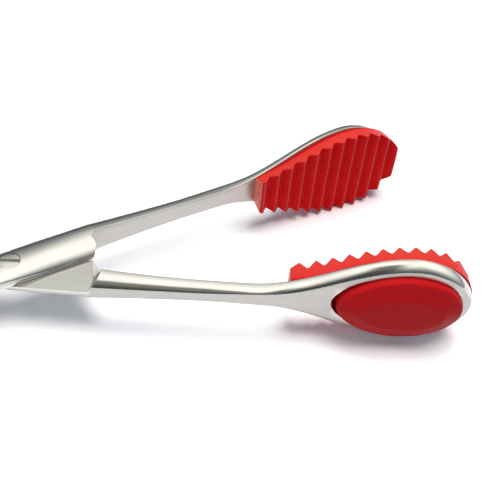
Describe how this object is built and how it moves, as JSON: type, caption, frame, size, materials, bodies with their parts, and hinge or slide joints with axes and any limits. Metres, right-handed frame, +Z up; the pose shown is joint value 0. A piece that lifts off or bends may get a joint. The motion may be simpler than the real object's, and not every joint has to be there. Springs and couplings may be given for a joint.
{
  "type": "spring loaded kitchen tongs",
  "caption": "Scissor-action steel tongs with a lap-joint screw, leaf springs that hold the jaws open and ridged red rubber pads in ring-shaped jaws.",
  "frame": {"origin": "on the table under the middle of the tool's box, with the tongs lying on their side and the jaws sprung open", "axes": "+X towards the jaws along the middle between the arms, +Y to the left jaw, +Z up along the joint screw; the arms open and close in the level plane"},
  "size_m": [0.167, 0.0638, 0.0175],
  "materials": {
    "arm_steel": "satin brushed along the arm, polished on the rounded flanks",
    "screw_steel": "ground flush, satin",
    "spring_steel": "satin",
    "pad_rubber": "satin moulded silicone"
  },
  "bodies": {
    "right_half": {"right_arm": "arm_steel", "right_pad": "pad_rubber", "pivot_screw": "screw_steel", "right_arm_spring": "spring_steel", "right_arm_spring_screw": "screw_steel"},
    "left_half": {"left_arm": "arm_steel", "left_pad": "pad_rubber", "left_arm_spring": "spring_steel", "left_arm_spring_screw": "screw_steel"}
  },
  "joints": [
    {"name": "jaw_hinge", "type": "hinge", "parent": "right_half", "child": "left_half", "pos_m": [0.00913, 0, 0.00875], "axis": [0, 0, -1], "range_deg": [0, 25], "stiffness_Nm_per_rad": 0.9, "deforming": ["left_arm_spring", "right_arm_spring"]}
  ]
}
